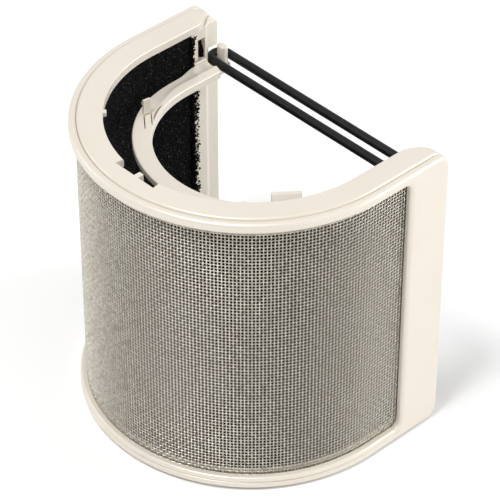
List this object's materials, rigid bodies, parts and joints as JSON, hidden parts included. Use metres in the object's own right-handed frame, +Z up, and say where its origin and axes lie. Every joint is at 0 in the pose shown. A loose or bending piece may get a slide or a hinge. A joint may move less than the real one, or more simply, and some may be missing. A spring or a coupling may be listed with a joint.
{
  "type": "pop filter",
  "caption": "U-shaped clip-on microphone pop filter: champagne frame round a woven wire screen and foam liner, inner spacer frame and elastic bands across the open back.",
  "frame": {"origin": "under the middle of the filter's box, on the surface it stands on", "axes": "+Z up; the half-round screen faces -Y and the open back with the elastic bands faces +Y; X = 0 is the plane of symmetry"},
  "size_m": [0.1, 0.081, 0.095],
  "materials": {
    "champagne_plastic": "satin champagne paint",
    "inner_plastic": "satin champagne paint, inner mouldings",
    "woven_wire": "champagne-grey plain-weave wire",
    "open_cell_foam": "black open-cell foam",
    "elastic_rubber": "round black elastic cord"
  },
  "bodies": {
    "shell": {"outer_frame": "champagne_plastic", "top_cover": "champagne_plastic", "bottom_cover": "champagne_plastic", "screen": "woven_wire", "top_screen_clip": "inner_plastic", "bottom_screen_clip": "inner_plastic", "foam_liner": "open_cell_foam", "left_post_cover": "inner_plastic", "right_post_cover": "inner_plastic", "top_catch": "champagne_plastic", "bottom_catch": "champagne_plastic", "upper_left_hook": "champagne_plastic", "upper_right_hook": "champagne_plastic", "lower_left_hook": "champagne_plastic", "lower_right_hook": "champagne_plastic"},
    "inner_frame": {"top_collar": "champagne_plastic", "bottom_collar": "champagne_plastic", "left_side_panel": "inner_plastic", "right_side_panel": "inner_plastic"},
    "top_left_snap": {"top_left_tab": "champagne_plastic"},
    "top_right_snap": {"top_right_tab": "champagne_plastic"},
    "bottom_left_snap": {"bottom_left_tab": "champagne_plastic"},
    "bottom_right_snap": {"bottom_right_tab": "champagne_plastic"},
    "upper_elastic": {"upper_band": "elastic_rubber"},
    "lower_elastic": {"lower_band": "elastic_rubber"}
  },
  "joints": [
    {"name": "inner_frame_release", "type": "slide", "parent": "shell", "child": "inner_frame", "axis": [0, 1, 0], "range_m": [0, 0.0022]},
    {"name": "top_left_tab_flex", "type": "hinge", "parent": "inner_frame", "child": "top_left_snap", "pos_m": [-0.0299, -0.0028, 0.0846], "axis": [0.1564, 0.9877, 0], "range_deg": [0, 6], "stiffness_Nm_per_rad": 0.02},
    {"name": "bottom_left_tab_flex", "type": "hinge", "parent": "inner_frame", "child": "bottom_left_snap", "pos_m": [-0.0299, -0.0028, 0.0104], "axis": [-0.1564, -0.9877, 0], "range_deg": [0, 6], "stiffness_Nm_per_rad": 0.02},
    {"name": "top_right_tab_flex", "type": "hinge", "parent": "inner_frame", "child": "top_right_snap", "pos_m": [0.028, -0.00392, 0.0846], "axis": [-0.6225, -0.7826, 0], "range_deg": [0, 6], "stiffness_Nm_per_rad": 0.02},
    {"name": "bottom_right_tab_flex", "type": "hinge", "parent": "inner_frame", "child": "bottom_right_snap", "pos_m": [0.028, -0.00392, 0.0104], "axis": [0.6225, 0.7826, 0], "range_deg": [0, 6], "stiffness_Nm_per_rad": 0.02},
    {"name": "upper_band_lift", "type": "slide", "parent": "shell", "child": "upper_elastic", "axis": [0, 0, 1], "range_m": [0, 0.0034]},
    {"name": "lower_band_lift", "type": "slide", "parent": "shell", "child": "lower_elastic", "axis": [0, 0, 1], "range_m": [0, 0.0034]}
  ]
}
